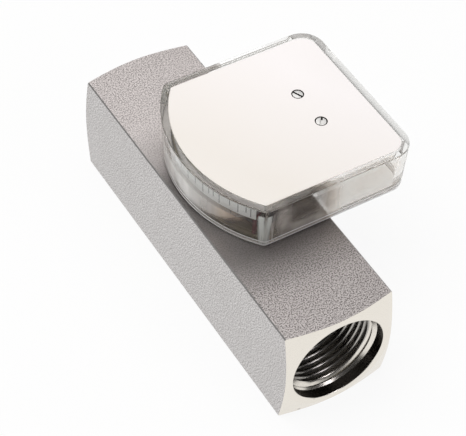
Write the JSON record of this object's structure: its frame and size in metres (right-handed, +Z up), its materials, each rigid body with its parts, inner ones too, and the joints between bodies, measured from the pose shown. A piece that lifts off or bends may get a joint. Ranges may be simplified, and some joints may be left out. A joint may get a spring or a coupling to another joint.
{
  "type": "variable area flow meter",
  "caption": "Inline flow meter: square bar with threaded pipe ports, spring-loaded magnet piston inside, and a pointer at a curved scale in a clear tray under a plate.",
  "frame": {"origin": "middle of the bar's flat underside", "axes": "+Y along the flow from inlet to outlet, +X across the bar to the side the tray overhangs, +Z up through the tray"},
  "size_m": [0.072, 0.135, 0.058],
  "materials": {
    "bar_steel": "fine-ground stainless bar, ends turned",
    "steel": "machined stainless",
    "spring_steel": "drawn wire",
    "clear_plastic": "clear moulded plastic",
    "cream_plate": "smooth cream white",
    "scale_white": "printed white strip",
    "brass": "turned brass",
    "aluminium": "stamped sheet",
    "red_plastic": "dark red",
    "dark_plastic": "moulded, dark",
    "magnet": "sintered magnet",
    "soft_iron": "soft iron",
    "guide_white": "low-friction plastic",
    "rubber": "flat sheet gasket"
  },
  "bodies": {
    "meter": {"flow_body": "bar_steel", "base_gasket": "rubber", "indicator_tray": "clear_plastic", "tray_screws": "steel", "cover_plate": "cream_plate", "plate_screws": "steel", "scale_strip": "scale_white", "upper_bridge": "brass", "lower_bridge": "brass", "bridge_pillars": "brass", "bridge_screws": "steel", "bearing_bush_upper": "steel", "bearing_bush_lower": "steel", "inlet_snap_ring": "spring_steel", "outlet_snap_ring": "spring_steel", "inlet_spider": "steel", "outlet_spider": "steel", "metering_cone": "steel", "nose_nut": "steel", "cone_nut": "steel", "spring_seat": "steel", "return_spring": "spring_steel"},
    "piston": {"piston_body": "steel", "orifice_ring": "steel", "guide_ring_front": "guide_white", "guide_ring_rear": "guide_white", "piston_magnet_front": "magnet", "magnet_spacer": "soft_iron", "piston_magnet_rear": "magnet", "magnet_nut": "steel"},
    "pointer": {"pointer_shaft": "steel", "pointer_hub": "brass", "pointer_arm": "aluminium", "pointer_tip": "red_plastic", "magnet_cup": "dark_plastic", "follower_magnet": "magnet", "counterweight": "brass"}
  },
  "joints": [
    {"name": "piston_slide", "type": "slide", "parent": "meter", "child": "piston", "axis": [0, 1, 0], "range_m": [0, 0.0357], "stiffness_N_per_m": 60, "deforming": ["return_spring"]},
    {"name": "pointer_swing", "type": "hinge", "parent": "meter", "child": "pointer", "pos_m": [0.0305, 0.00255, 0.046], "axis": [0, 0, -1], "range_deg": [0, 72]}
  ],
  "couplings": [
    {"joint": "pointer_swing", "follows": "piston_slide", "rad_per_m": 35.05}
  ]
}
